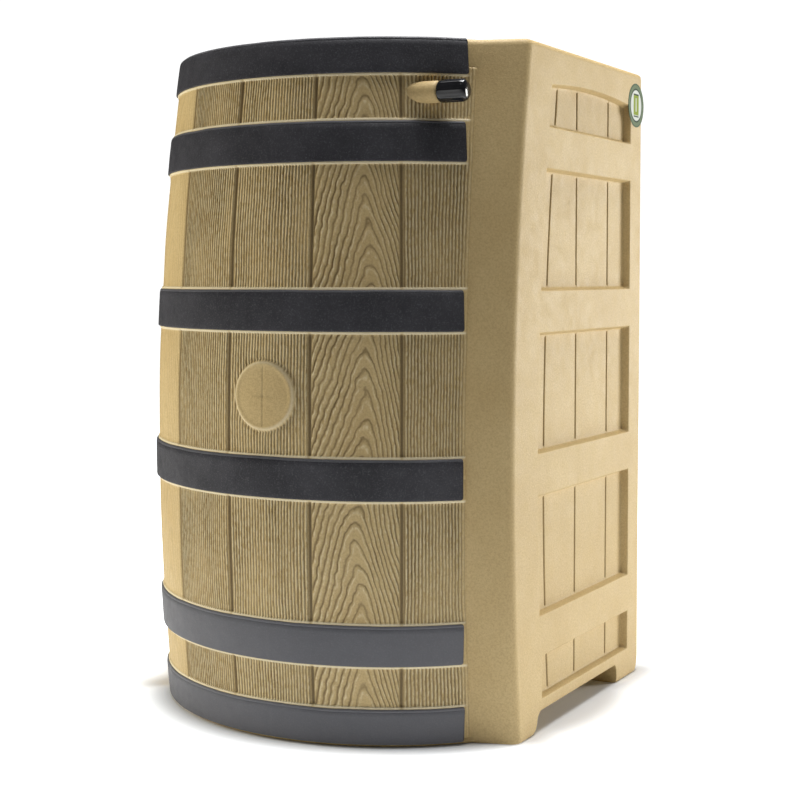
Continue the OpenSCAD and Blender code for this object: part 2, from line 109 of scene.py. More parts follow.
# Depth of a panel's edge against the distance inside it, and of a plank joint across it
EDGE_D = np.array([-1.4, -0.5, 0.2, 2.4, 3.2, 4.6])
EDGE_DEPTH = np.array([0.0, 0.3, 1.2, 8.6, 9.25, PANEL_DEPTH])
JOINT_D = np.array([-3.0, -2.1, -1.0, 0.0, 1.0, 2.1, 3.0])
JOINT_DEPTH = np.array([0.0, 0.5, 2.8, 3.4, 2.8, 0.5, 0.0])
# How far behind a right panel's front edge its first joint runs
FRONT_JOINT = 38.0


def stave_r(z):
    return BULGE_R - STAVE_ARC_R + np.sqrt(STAVE_ARC_R ** 2 - (z - BULGE_Z) ** 2)


def post_y(z):
    return -POST_FRONT + POST_ARC_R - np.sqrt(POST_ARC_R ** 2 - (z - BULGE_Z) ** 2)


def smooth(a, b, x):
    t = np.clip((x - a) / (b - a), 0, 1)
    return t * t * (3 - 2 * t)


def waves(x, y, scale, seed, octaves=3):
    """Smooth seeded noise of about -1 to 1 from sums of sine waves; scale is in the units of x and y."""
    r = np.random.default_rng(seed)
    total = np.zeros(np.broadcast(x, y).shape)
    norm = 0
    for o in range(octaves):
        for k in range(4):
            a, p = r.uniform(0, 2 * math.pi, 2)
            f = 2 ** o * r.uniform(0.7, 1.3) / scale * 2 * math.pi / 2
            total += np.sin((x * math.cos(a) + y * math.sin(a)) * f + p) * 0.6 ** o
        norm += 0.6 ** o
    return total / norm / 2


# ---------------------------------------------------------------- mesh helpers
def add_mesh(name, verts, faces, material, body="tank", attrs=None, replaced=()):
    """A mesh object from millimetres; faces is a list of index arrays, one per face size."""
    me = bpy.data.meshes.new(name)
    verts = np.asarray(verts, float) * MM
    me.vertices.add(len(verts))
    me.vertices.foreach_set("co", verts.astype(np.float32).ravel())
    faces = [np.asarray(f, np.int32) for f in faces if len(f)]
    loops = np.concatenate([f.ravel() for f in faces])
    sizes = np.concatenate([np.full(len(f), f.shape[1], np.int32) for f in faces])
    me.loops.add(len(loops))
    me.loops.foreach_set("vertex_index", loops)
    me.polygons.add(len(sizes))
    me.polygons.foreach_set("loop_start", np.concatenate([[0], np.cumsum(sizes)[:-1]]).astype(np.int32))
    me.polygons.foreach_set("use_smooth", np.ones(len(sizes), bool))
    me.update(calc_edges=True)
    me.validate()
    for key, values in (attrs or {}).items():
        layer = me.attributes.new(key, "FLOAT", "POINT")
        layer.data.foreach_set("value", np.asarray(values, np.float32).ravel())
    me.materials.append(material)
    obj = bpy.data.objects.new(name, me)
    bpy.context.scene.collection.objects.link(obj)
    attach(obj, body)
    if replaced:
        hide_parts(*replaced)
    return obj


def grid(rows, cols, first=0, wrap=False):
    """Quads of a rows x cols grid of vertices numbered row by row."""
    i = np.arange(rows - 1)[:, None]
    j = np.arange(cols if wrap else cols - 1)[None, :]
    k = (j + 1) % cols
    quads = np.stack([i * cols + j, i * cols + k, (i + 1) * cols + k, (i + 1) * cols + j], -1)
    return quads.reshape(-1, 4) + first


def spaced(a, b, step):
    """Points from a to b, both left out, no more than step apart."""
    n = max(int(math.ceil(abs(b - a) / step)), 1)
    return list(np.linspace(a, b, n + 1)[1:-1])


def filled(marks, step):
    """The sorted marks with points added wherever two are more than step apart."""
    marks = sorted(set(round(float(m), 3) for m in marks))
    out = []
    for a, b in zip(marks, marks[1:]):
        out += [a] + spaced(a, b, step)
    return np.array(out + [marks[-1]])


# ---------------------------------------------------------------- node materials
class Nodes:
    """Short way to write a node tree: each call adds a node, links its inputs and returns an output."""

    def __init__(self, name):
        self.mat = bpy.data.materials.new(name)
        self.mat.use_nodes = True
        self.tree = self.mat.node_tree
        self.bsdf = self.tree.nodes["Principled BSDF"]

    def add(self, kind, inputs=None, out=0, **props):
        node = self.tree.nodes.new(kind)
        for k, v in props.items():
            setattr(node, k, v)
        for k, v in (inputs or {}).items():
            if isinstance(v, bpy.types.NodeSocket):
                self.tree.links.new(v, node.inputs[k])
            else:
                node.inputs[k].default_value = v
        return node.outputs[out]

    def math(self, op, a, b=0.0, c=0.0):
        return self.add("ShaderNodeMath", {0: a, 1: b, 2: c}, operation=op)

    def place(self):
        return self.add("ShaderNodeTexCoord", out=3)

    def axis(self, which):
        node = self.tree.nodes.new("ShaderNodeSeparateXYZ")
        self.tree.links.new(self.place(), node.inputs[0])
        return node.outputs[which]

    def noise(self, scale, detail=3.0, rough=0.5, stretch=None):
        vec = self.place()
        if stretch:
            vec = self.add("ShaderNodeMapping", {"Vector": vec, "Scale": stretch})
        inputs = {"Vector": vec, "Scale": scale, "Detail": detail, "Roughness": rough}
        return self.add("ShaderNodeTexNoise", inputs)

    def span(self, value, a, b, c=0.0, d=1.0, **props):
        inputs = {"Value": value, "From Min": a, "From Max": b, "To Min": c, "To Max": d}
        return self.add("ShaderNodeMapRange", inputs, **props)

    def mix(self, factor, a, b):
        node = self.tree.nodes.new("ShaderNodeMix")
        node.data_type = "RGBA"
        for socket, v in ((node.inputs[0], factor), (node.inputs[6], a), (node.inputs[7], b)):
            if isinstance(v, bpy.types.NodeSocket):
                self.tree.links.new(v, socket)
            else:
                socket.default_value = v if not isinstance(v, tuple) or len(v) == 4 else (*v, 1)
        return node.outputs[2]

    def attribute(self, name):
        return self.add("ShaderNodeAttribute", out=2, attribute_name=name)

    def bump(self, height, strength, distance, normal=None):
        inputs = {"Height": height, "Strength": strength, "Distance": distance}
        if normal is not None:
            inputs["Normal"] = normal
        return self.add("ShaderNodeBump", inputs)

    def finish(self, color, rough, normal=None, **fixed):
        for key, v in (("Base Color", color), ("Roughness", rough)):
            if isinstance(v, bpy.types.NodeSocket):
                self.tree.links.new(v, self.bsdf.inputs[key])
            else:
                self.bsdf.inputs[key].default_value = (*v, 1) if isinstance(v, tuple) and len(v) == 3 else v
        if normal is not None:
            self.tree.links.new(normal, self.bsdf.inputs["Normal"])
        for key, v in fixed.items():
            self.bsdf.inputs[key.replace("_", " ")].default_value = v
        return self.mat


TAN = (0.545, 0.400, 0.185)
TAN_PALE = (0.595, 0.450, 0.220)
TAN_DARK = (0.360, 0.240, 0.100)
GRAIN_CUT_TONE = (0.135, 0.088, 0.034)
GRAIN_LIT_TONE = (0.92, 0.82, 0.54)
LIP_AND_RIM_HIGHLIGHT_TONE = (0.86, 0.79, 0.58)
GROOVE_DARK_AND_SHADE_TONE = (0.10, 0.068, 0.030)
# How far the lit side of a grain line runs beside its cut, in radians, and how much thinner lines can get
GRAIN_LEAD = -1.0
GRAIN_THIN = 9.0


def tan_material(name, grain):
    """Moulded tan plastic: mottled colour, pebbled skin and grooves darkened with painted shade; on the
    staves, the embossed grain's lines with a painted highlight beside each, pale lips along the hoops and a
    painted highlight round the bung's rim.
    """
    n = Nodes(name)
    mottle = n.span(n.noise(9.0, 4.0, 0.6), 0.35, 0.65)
    color = n.mix(mottle, TAN, TAN_PALE)
    fine = n.noise(420.0, 3.0, 0.65)
    color = n.mix(n.span(fine, 0.36, 0.60, 0.40, 0.0), color, TAN_DARK)
    pebble = n.noise(620.0, 2.0, 0.55)
    coarse = n.noise(170.0, 2.0, 0.5)
    height = n.math("ADD", n.math("MULTIPLY", pebble, 0.6), n.math("MULTIPLY", coarse, 0.35))
    normal = n.bump(height, 0.55, 0.0012)
    if grain:
        phase = n.attribute("phase")
        amount = n.attribute("amount")
        thin = n.math("MULTIPLY_ADD", n.attribute("sharp"), GRAIN_THIN, 1.0)
        turn = n.math("MULTIPLY", phase, 2 * math.pi)
        wave = n.math("MULTIPLY_ADD", n.math("SINE", turn), 0.5, 0.5)
        beside = n.math("MULTIPLY_ADD", n.math("SINE", n.math("ADD", turn, GRAIN_LEAD)), 0.5, 0.5)
        broken = n.span(n.noise(300.0, 2.0, 0.6, (1.0, 1.0, 0.4)), 0.36, 0.58)
        cut = n.math("MULTIPLY", n.math("POWER", n.math("SUBTRACT", 1.0, wave), thin), amount)
        lit = n.math("MULTIPLY", n.math("MULTIPLY", n.math("POWER", beside, thin), amount), broken)
        normal = n.bump(n.math("SUBTRACT", n.math("MULTIPLY", lit, 0.5), cut), 0.8, 0.0013, normal)
        color = n.mix(n.math("MULTIPLY", cut, 0.88), color, GRAIN_CUT_TONE)
        # painted highlight: the lit flank beside each grain line made paler
        color = n.mix(n.math("MULTIPLY", lit, 0.60), color, GRAIN_LIT_TONE)
        # pale lips along the hoops, and a painted highlight round the bung disc's rim
        color = n.mix(n.math("MULTIPLY", n.attribute("lip"), 0.70), color, LIP_AND_RIM_HIGHLIGHT_TONE)
    # painted shade and dark joint colour: grooves between the staves, the plank joints and the bung's marks
    # darkened
    color = n.mix(n.math("MULTIPLY", n.attribute("groove"), 0.82), color, GROOVE_DARK_AND_SHADE_TONE)
    rough = n.span(n.noise(60.0, 3.0, 0.6), 0.3, 0.7, 0.52, 0.64)
    return n.finish(color, rough, normal, Specular_IOR_Level=0.30)


def hoop_material():
    """Charcoal plastic with a fine leathery skin, paler low down, scuffed low on the left and a painted
    highlight along each hoop's upper edge.
    """
    n = Nodes("hoop_plastic")
    blot = n.noise(14.0, 5.0, 0.65)
    fine = n.noise(520.0, 3.0, 0.7)
    color = n.mix(n.span(blot, 0.35, 0.7), (0.027, 0.0265, 0.0310), (0.050, 0.049, 0.0565))
    color = n.mix(n.span(fine, 0.52, 0.72, 0.0, 0.30), color, (0.20, 0.20, 0.215))
    low = n.span(n.axis(2), 0.30, 0.12)
    color = n.mix(n.math("MULTIPLY", low, 0.55), color, (0.18, 0.18, 0.195))
    scuff = n.span(n.noise(55.0, 6.0, 0.75, (1.0, 1.0, 0.5)), 0.56, 0.70)
    near_left = n.math("MULTIPLY", n.span(n.axis(0), -0.190, -0.245), n.span(n.axis(2), 0.30, 0.16))
    color = n.mix(n.math("MULTIPLY", scuff, n.math("MULTIPLY", near_left, 0.75)), color, (0.55, 0.54, 0.54))
    # painted highlight: the hoop's upper edge made paler by its 'rim' share
    color = n.mix(n.math("MULTIPLY", n.attribute("rim"), 0.30), color, (0.20, 0.20, 0.22))
    height = n.math("ADD", n.math("MULTIPLY", fine, 0.6), n.math("MULTIPLY", n.noise(150.0, 3.0, 0.6), 0.6))
    normal = n.bump(height, 0.40, 0.0010)
    rough = n.span(n.noise(80.0, 3.0, 0.6), 0.3, 0.7, 0.50, 0.64)
    return n.finish(color, rough, normal, Specular_IOR_Level=0.34)


def plain_material(name, dark, light, scale, rough, metal=0.0, bump=0.2, bump_scale=300.0, stretch=None,
                   **fixed):
    """Two close tones mixed by noise, with roughness and bump from noise: plastics, rubber and metals."""
    n = Nodes(name)
    color = n.mix(n.span(n.noise(scale, 4.0, 0.6, stretch), 0.3, 0.7), dark, light)
    normal = n.bump(n.noise(bump_scale, 3.0, 0.6, stretch), bump, 0.0006)
    uneven = n.span(n.noise(scale * 2, 3.0, 0.6), 0.3, 0.7, *rough)
    return n.finish(color, uneven, normal, Metallic=metal, **fixed)


def label_material():
    """Printed disc on the right side: green ring, white field and a plain green block."""
    n = Nodes("label_print")
    lo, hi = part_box("side_label")
    cy, cz, r = (lo.y + hi.y) / 2, (lo.z + hi.z) / 2, (hi.z - lo.z) / 2
    dy = n.math("SUBTRACT", n.axis(1), cy)
    dz = n.math("SUBTRACT", n.axis(2), cz)
    far = n.math("SQRT", n.math("ADD", n.math("MULTIPLY", dy, dy), n.math("MULTIPLY", dz, dz)))

    def outside(value, edge, soft=0.0004):
        return n.span(value, edge - soft, edge + soft)

    green, white, grey = (0.155, 0.205, 0.125), (0.66, 0.69, 0.64), (0.045, 0.065, 0.045)
    dark_green, olive, pale = (0.10, 0.14, 0.09), (0.27, 0.34, 0.055), (0.52, 0.56, 0.40)
    # every edge is a share of the disc's radius
    ring, line_inner, line_outer, rim = 0.74, 0.70, 0.77, 0.93
    color = n.mix(outside(far, r * ring), white, green)
    line = n.math("MULTIPLY", outside(far, r * line_inner),
                  outside(n.math("SUBTRACT", 1.0, far), 1 - r * line_outer))
    color = n.mix(line, color, grey)
    color = n.mix(outside(far, r * rim), color, dark_green)
    for half_y, z0, z1, tone in ((0.33, -0.44, 0.50, olive), (0.33, 0.46, 0.53, grey),
                                 (0.33, -0.53, -0.47, grey), (0.09, -0.28, 0.34, pale)):
        a = outside(n.math("SUBTRACT", r * half_y, n.math("ABSOLUTE", dy)), 0.0)
        b = outside(n.math("SUBTRACT", dz, r * z0), 0.0)
        c = outside(n.math("SUBTRACT", r * z1, dz), 0.0)
        color = n.mix(n.math("MULTIPLY", a, n.math("MULTIPLY", b, c)), color, tone)
    normal = n.bump(n.noise(500.0, 2.0, 0.5), 0.1, 0.0004)
    return n.finish(color, n.span(n.noise(120.0), 0.3, 0.7, 0.72, 0.84), normal, Specular_IOR_Level=0.12)


tan_plain = tan_material("tan_plastic", False)
tan_grain = tan_material("tan_stave_plastic", True)
hoop_mat = hoop_material()
label_mat = label_material()
black_mat = plain_material("black_plastic", (0.016, 0.016, 0.018), (0.030, 0.030, 0.033), 60.0, (0.36, 0.5))
cap_mat = plain_material("cap_plastic", (0.006, 0.006, 0.007), (0.012, 0.012, 0.014), 90.0, (0.13, 0.2),
                         bump=0.05, Coat_Weight=0.4, Coat_Roughness=0.08)
rubber_mat = plain_material("seal_rubber", (0.018, 0.018, 0.018), (0.035, 0.034, 0.033), 150.0, (0.6, 0.8))
steel_mat = plain_material("zinc_steel", (0.52, 0.53, 0.55), (0.68, 0.69, 0.71), 200.0, (0.26, 0.42), 1.0,
                           stretch=(1.0, 1.0, 6.0))
polished_mat = plain_material("polished_steel", (0.66, 0.67, 0.69), (0.76, 0.77, 0.79), 60.0, (0.06, 0.14),
                              1.0, 0.03)
mesh_mat = plain_material("mesh_wire", (0.42, 0.43, 0.44), (0.58, 0.59, 0.60), 300.0, (0.25, 0.4), 1.0)
brass_mat = plain_material("machined_brass", (0.60, 0.40, 0.14), (0.80, 0.58, 0.25), 45.0, (0.2, 0.36),
                           1.0, 0.12, 500.0)
seat_mat = plain_material("seat_plastic", (0.74, 0.74, 0.71), (0.86, 0.86, 0.83), 90.0, (0.32, 0.45))
vinyl_mat = plain_material("grip_vinyl", (0.014, 0.014, 0.015), (0.030, 0.030, 0.031), 80.0, (0.34, 0.48),
                           bump=0.3)


# ---------------------------------------------------------------- the tank body
def foot_front(z):
    """Front end of the gap between the feet: rounded foot below, small fillet under the rail."""
    below = np.clip(FOOT_ROUND_Z - z, 0, FOOT_ROUND_Z)
    low = FOOT_ROUND - np.sqrt(np.clip(FOOT_ROUND ** 2 - below ** 2 * 1.65, 0, None))
    return FOOT_FRONT_Y - low * 1.05 + 7.0 * np.clip((z - 16.0) / 9.0, 0, 1) ** 2


def foot_rear(z):
    return FOOT_BACK_Y - 5.0 * np.clip((z - 17.0) / 8.0, 0, 1) ** 2


def panel_depth_at(across, z, front, rear, planks):
    """Depth of a flat side's face with its panels and plank joints, and how far into a joint it is."""
    depth = np.zeros(np.broadcast(across, z).shape)
    joints = np.zeros_like(depth)
    for z0, z1 in PANEL_EDGES:
        d = np.minimum(np.minimum(across - front, rear - across), np.minimum(z - z0, z1 - z))
        depth += np.interp(d, EDGE_D, EDGE_DEPTH)
        ends = np.interp(np.minimum(z - z0, z1 - z), [4.8, 6.4], [0, 1])
        for p in planks:
            joints += np.interp(np.abs(across - p), JOINT_D[3:], JOINT_DEPTH[3:]) * ends * (d > 3)
    return depth + joints, joints / JOINT_DEPTH.max()


def body_rows():
    """Heights of the outer rows with each row's inset, from the floor up and over the rim into the tray."""
    marks = [4.5, 8, 12, 15, 18, 21, 23.4, 25.0, 25.5, 26.6, 28.5, 832]
    for z0, z1 in PANEL_EDGES:
        marks += list(z0 + EDGE_D) + list(z1 - EDGE_D) + [z0 + 6.4, z1 - 6.4]
    rows = [(0, 4.0), (0.7, 1.9), (2.3, 0.5)] + [(z, 0.0) for z in filled(marks, 26)]
    rows += [(835.2, 0.5), (837.6, 1.6), (839.3, 3.6), (840, 6.0), (840, 9.5), (839.3, 12.0), (837.6, 13.6),
             (835, 14.2), (820, 14.6), (807, 15.0), (804, 15.9), (802.5, 17.6), (802, 20.0), (802, 26.0)]
    return np.array(rows)


def to_corner(y, y_end):
    """Columns of a side, the rear ones moved so that the last meets the back corner at y_end."""
    stretch = (y_end - KEPT_Y) / (BACK_Y - BACK_CORNER_R - KEPT_Y)
    return np.where(y > KEPT_Y, KEPT_Y + (y - KEPT_Y) * stretch, y)


def outline(z, inset, recess):
    """X and Y of one closed loop round the tank for each row, each an array of rows by columns."""
    z, inset = z[:, None], inset[:, None]
    n = len(z)
    cols = []
    half = HALF_W - inset
    r = stave_r(z) - inset
    py = post_y(z)
    c, s = math.cos(POST_ANGLE), math.sin(POST_ANGLE)
    turn = math.pi / 2 - POST_ANGLE
    rho = np.maximum(POST_CORNER_R - inset, 4.0)
    corner_y = py + inset * (c - (1 - s) * s / c)
    reach = rho * math.tan(turn / 2)
    # front arc, drawn in where the staves' own skin covers it
    rr = r - recess[:, None]
    cy = corner_y - AXIS_Y
    b = half * c + cy * s
    t_join = b - np.sqrt(b * b - (half ** 2 + cy ** 2 - rr ** 2))
    jx, jy = half - t_join * c, corner_y - t_join * s
    t_end = np.arctan2(jx, -(jy - AXIS_Y))
    f = np.linspace(0, 1, 26)[None, :]
    theta = LEFT_ANGLE + (t_end - LEFT_ANGLE) * f
    rad = np.where(f == 0, r, rr)
    cols.append((rad * np.sin(theta), AXIS_Y - rad * np.cos(theta)))
    # post face
    sx, sy = half - reach * c, corner_y - reach * s
    f = np.array([0.12, 0.3, 0.5, 0.7, 0.88])[None, :]
    cols.append((jx + (sx - jx) * f, jy + (sy - jy) * f))
    # corner
    phi = np.linspace(-turn, 0, 8)[None, :]
    ex, ey = half - rho, corner_y + reach
    cols.append((ex + rho * np.cos(phi), ey + rho * np.sin(phi)))
    # right side
    front = post_y(np.minimum(z, EDGE_TOP_Z)) + FRONT_STILE
    low = np.clip((z - 25) / 15, 0, 1)
    notch = (1 - low) * foot_front(np.minimum(z, NOTCH_Z)) + low * (py + 55)
    fixed = []
    for p in RIGHT_PLANKS:
        fixed += list(p + JOINT_D)
    fixed += list(PANEL_REAR - EDGE_D) + [FOOT_BACK_Y - 7, FOOT_BACK_Y - 2, 240]
    fixed = filled([-12] + fixed, 22)
    ys = [ey + (notch - 2.4 - ey) * 0.45] + [notch + k for k in NOTCH_COLS] + \
         [front + k for k in EDGE_D] + [front + FRONT_JOINT + k for k in JOINT_D] + \
         [np.full((n, 1), v) for v in fixed]
    y = np.concatenate([np.broadcast_to(v, (n, 1)) for v in ys], 1)
    feet = [foot_rear(z) - k for k in NOTCH_COLS[::-1]]
    y = np.concatenate([y] + feet, 1)
    y.sort(axis=1)
    rho2 = np.maximum(BACK_CORNER_R - inset, 4.0)
    y_end = BACK_Y - inset - rho2
    y = to_corner(y, y_end)
    cols.append((np.broadcast_to(half, y.shape).copy(), y))
    right_span = (sum(a[0].shape[1] for a in cols[:-1]), y.shape[1])
    # back corner, back, back-left corner
    phi = np.linspace(0, math.pi / 2, 7)[None, :]
    cols.append((half - rho2 + rho2 * np.cos(phi), y_end + rho2 * np.sin(phi)))
    marks = list(BACK_PANEL_HALF - EDGE_D) + list(-(BACK_PANEL_HALF - EDGE_D)) + [-236, 236]
    for p in BACK_PLANKS:
        marks += list(p + JOINT_D)
    x = np.broadcast_to(filled(marks, 24)[::-1][None, :], (n, len(filled(marks, 24))))
    cols.append((x.copy(), np.broadcast_to(BACK_Y - inset, x.shape).copy()))
    back_span = (sum(a[0].shape[1] for a in cols[:-1]), x.shape[1])
    phi = np.linspace(math.pi / 2, math.pi, 7)[None, :]
    cols.append((-(half - rho2) + rho2 * np.cos(phi), y_end + rho2 * np.sin(phi)))
    # left side and its soft turn into the staves
    bx, by = -r * math.sin(-LEFT_ANGLE), AXIS_Y - r * math.cos(LEFT_ANGLE)
    t = (half + bx) / math.cos(LEFT_ANGLE)
    yc = by + t * math.sin(-LEFT_ANGLE)
    ysoft = yc + 0.5 * t
    fixed = list(PANEL_REAR - EDGE_D) + list(LEFT_PANEL_FRONT + EDGE_D) + [240, -42, -60, FOOT_BACK_Y - 7,
                                                                           FOOT_BACK_Y - 2]
    for p in LEFT_PLANKS:
        fixed += list(p + JOINT_D)
    fixed = filled(fixed, 22)
    notch = foot_front(np.minimum(z, NOTCH_Z))
    y = np.concatenate([np.broadcast_to(v, (n, 1)) for v in
                        [np.full((n, 1), v) for v in fixed] + [notch + k for k in NOTCH_COLS]
                        + feet], 1)
    y.sort(axis=1)
    y = y[:, ::-1]
    y = to_corner(y, y_end)
    last = y[:, -1:]
    y = np.concatenate([y] + [last + (by - last) * k for k in (0.2, 0.4, 0.6, 0.8)], 1)
    qa, qb, qc = ysoft - 2 * yc + by, 2 * (yc - ysoft), ysoft - y
    root = np.sqrt(np.clip(qb * qb - 4 * qa * qc, 0, None))
    tau = np.clip(2 * qc / np.minimum(-qb - root, -1e-9), 0, 1)
    tau = np.where(y < ysoft, np.clip(2 * qc / (-qb + root + 1e-12), 0, 1), 0)
    xl = (1 - tau) ** 2 * -half + 2 * tau * (1 - tau) * -half + tau ** 2 * bx
    cols.append((xl, y))
    left_span = (sum(a[0].shape[1] for a in cols[:-1]), y.shape[1])
    x = np.concatenate([a[0] for a in cols], 1)
    y = np.concatenate([a[1] for a in cols], 1)
    return x, y, right_span, back_span, left_span


def tank_body():
    rows = body_rows()
    z, inset = rows[:, 0], rows[:, 1]
    recess = VENEER_T * smooth(1.0, 5.0, z - 3) * (1 - smooth(808, 812, z)) * (inset == 0)
    x, y, right, back, left = outline(z, inset, recess)
    zz = np.repeat(z[:, None], x.shape[1], 1)
    outer = (inset == 0)[:, None]
    # right side
    sl = slice(right[0], right[0] + right[1])
    front = post_y(np.minimum(z, EDGE_TOP_Z))[:, None] + FRONT_STILE
    # shade: painted shade and dark joint colour in the plank joints, passed on as 'groove'
    shade = np.zeros_like(x)
    d, cut = panel_depth_at(y[:, sl], zz[:, sl], front, PANEL_REAR, [front + FRONT_JOINT] + RIGHT_PLANKS)
    x[:, sl] -= d * outer
    shade[:, sl] = cut * outer
    arch = ARCH_RISE * 4 * np.interp(z, ARCH_Z, ARCH_SHARE)[:, None] * outer
    a = np.clip((y[:, sl] - front) / (PANEL_REAR - front), 0, 1)
    zz[:, sl] += arch * a * (1 - a)
    # back
    sl = slice(back[0], back[0] + back[1])
    d, cut = panel_depth_at(x[:, sl], zz[:, sl], -BACK_PANEL_HALF, BACK_PANEL_HALF, BACK_PLANKS)
    y[:, sl] -= d * outer
    shade[:, sl] = cut * outer
    # left side
    sl = slice(left[0], left[0] + left[1])
    d, cut = panel_depth_at(y[:, sl], zz[:, sl], LEFT_PANEL_FRONT, PANEL_REAR, LEFT_PLANKS)
    x[:, sl] += d * outer
    shade[:, sl] = cut * outer
    a = np.clip((y[:, sl] - LEFT_PANEL_FRONT) / (PANEL_REAR - LEFT_PANEL_FRONT), 0, 1)
    zz[:, sl] += arch * a * (1 - a)
    # gaps between the feet
    height = np.interp(z, [25.0, 25.5, 26.6, 28.5], [1, 0.025, 0.006, 0])[:, None] * (z < 30)[:, None]
    for span in (right, left):
        sl = slice(span[0], span[0] + span[1])
        f0, f1 = foot_front(np.minimum(z, NOTCH_Z))[:, None], foot_rear(z)[:, None]
        inside = np.minimum(y[:, sl] - f0, f1 - y[:, sl])
        w = np.interp(inside, NOTCH_COLS, [0, 0.004, 0.015, 1]) * height
        side = np.sign(x[:, sl])
        x[:, sl] += (side * NOTCH_X - x[:, sl]) * w * (np.abs(x[:, sl]) > NOTCH_X)
    # the back's foot is rounded, and no edge is dead straight
    k = np.clip((y - 230) / 45, 0, 1)
    below = np.clip(BACK_FOOT_R - zz, 0, BACK_FOOT_R)
    y -= k * (BACK_FOOT_R - np.sqrt(np.clip(BACK_FOOT_R ** 2 - below ** 2, 0, None))) * 0.9
    bow = 1.2 * np.sin(np.pi * np.clip(zz / BODY_H, 0, 1) * 2.0)
    y -= np.clip((y - 235) / 40, 0, 1) * np.clip(bow, 0, None) * outer
    verts = [np.stack([x, y, zz], -1).reshape(-1, 3)]
    n, m = x.shape
    faces = [grid(n, m, wrap=True)]
    # deck in to the inlet, its neck and the inside
    ang = np.arctan2(y[-1] - AXIS_Y, x[-1])

    def ring(radius, height):
        return np.stack([radius * np.cos(ang), AXIS_Y + radius * np.sin(ang), np.full(m, height)], -1)

    rings = [ring(INLET_R + more, height) for more, height in
             ((1.2, 802.0), (0.3, 801.6), (0, 800.8), (0, 797.4), (0.6, 797.0))]
    zi = np.array([797.0, 796.2, 793.0, 700.0, 600.0, 500.0, 400.0, 300.0, 200.0, 110.0, 38.0, 33.0, 31.0])
    ii = INNER_INSET + np.array([6.0, 2.0, 0, 0, 0, 0, 0, 0, 0, 0, 0, 1.5, 6.0])
    xi, yi, *_ = outline(zi, ii, np.zeros(len(zi)))
    rings += [np.stack([xi[k], yi[k], np.full(m, zi[k])], -1) for k in range(len(zi))]
    rings.append(ring(20.0, 31.0))
    verts.append(np.concatenate(rings))
    faces.append(grid(len(rings) + 1, m, first=(n - 1) * m, wrap=True))
    total = (n + len(rings)) * m
    verts.append(np.array([[0, AXIS_Y, 31.0]]))
    j = np.arange(m)
    last = total - m
    tris = [np.stack([last + j, last + (j + 1) % m, np.full(m, total)], -1)]
    loop = [Vector((x[0, k], y[0, k], 0)) for k in range(m)]
    bottom = np.array(tessellate_polygon([loop]))
    p = np.array([[v.x, v.y] for v in loop])
    e1, e2 = p[bottom[:, 1]] - p[bottom[:, 0]], p[bottom[:, 2]] - p[bottom[:, 0]]
    up = (e1[:, 0] * e2[:, 1] - e1[:, 1] * e2[:, 0]) > 0
    bottom[up] = bottom[up][:, ::-1]
    tris.append(bottom)
    verts = np.concatenate(verts)
    shade = np.concatenate([shade.ravel(), np.zeros(len(verts) - shade.size)])
    obj = add_mesh("tank_body", verts, [faces[0], faces[1], np.concatenate(tris)], tan_plain,
                   attrs={"groove": shade}, replaced=["tank_shell"])
    obj.modifiers.new("even_shading", "WEIGHTED_NORMAL").weight = 60


# ---------------------------------------------------------------- the staves' skin
def joint_angle(x0, z):
    return np.full_like(z, math.asin(x0 / BULGE_R))


def hoop_end(edge):
    """How far to the right the hoop with these edges reaches, in front of the corner post."""
    return HOOP_END_X * (1 + stave_r((edge[0] + edge[1]) / 2) / BULGE_R) / 2


def junction_angle(z):
    """Where the staves run in behind the post's face."""
    c, s = math.cos(POST_ANGLE), math.sin(POST_ANGLE)
    r, cy = stave_r(z), post_y(z) - AXIS_Y
    b = HALF_W * c + cy * s
    t = b - np.sqrt(b * b - (HALF_W ** 2 + cy ** 2 - r ** 2))
    return np.arctan2(HALF_W - t * c, -(cy - t * s))


def skin_columns(z):
    """Angles of the skin's columns for each row, with each column's stave and its place across it in mm."""
    bounds = [np.full_like(z, LEFT_ANGLE + 0.002)] + [joint_angle(x0, z) for x0 in STAVE_JOINTS]
    bounds.append(junction_angle(z) + 0.006)
    steps = [2.6, 1.15, 1.0, 1.0, 1.0, 1.0]
    theta, stave, place = [], [], []
    for k in range(6):
        width = float((bounds[k + 1] - bounds[k]).mean() * BULGE_R)
        marks = [0.0, width]
        if k > 0:
            marks += [1.1, 2.3, 3.8]
        if k < 5:
            marks += [width - 1.1, width - 2.3, width - 3.8]
        u = filled(marks, steps[k])
        u = u if k == 5 else u[:-1]
        theta.append(bounds[k][:, None] + (bounds[k + 1] - bounds[k])[:, None] * (u / width)[None, :])
        stave += [k] * len(u)
        place += list(u)
    return np.concatenate(theta, 1), np.array(stave), np.array(place)


def grain(stave, place, z):
    """Phase of the grain's lines, how thin the lines are and how strong, for every point of the skin."""
    x = place[None, :] + np.zeros_like(z)
    k = stave[None, :] + np.zeros_like(z)
    phase = x / 4.2 + 0.26 * waves(x, z * 0.25, 60, 11) + 0.10 * waves(x, z, 30, 12)
    thin = np.zeros_like(x) + 0.05
    amount = 0.80 + 0.20 * waves(x, z * 0.3, 40, 13)
    # flame patterns: arches with their tops up, nested and closing in towards the stave's edges
    for which, centre, side, rise, seed, low, level in FLAMES:
        mid = centre + 7 * np.sin(z / 95.0 + seed) + 2.5 * np.sin(z / 31.0 + seed)
        dx = x - mid
        lean = 1 + 0.20 * np.tanh(dx / 30)
        arch = np.sqrt((dx * lean) ** 2 + 11.0 ** 2) / side + z / rise
        arch += 0.32 * waves(x, z * 0.5, 30, seed + 1) + 0.11 * waves(x, z, 8, seed + 2)
        m = k == which
        phase = np.where(m, arch, phase)
        near = np.exp(-(dx / 26.0) ** 2)
        thin = np.where(m, low + (1 - low) * near, thin)
        patchy = 0.78 + 0.22 * waves(x, z * 0.5, 18, seed + 3)
        amount = np.where(m, level * patchy * (1 - 0.25 * near), amount)
    amount = np.where(k == 0, 0.0, amount)
    return phase, thin, np.clip(amount, 0, 1)


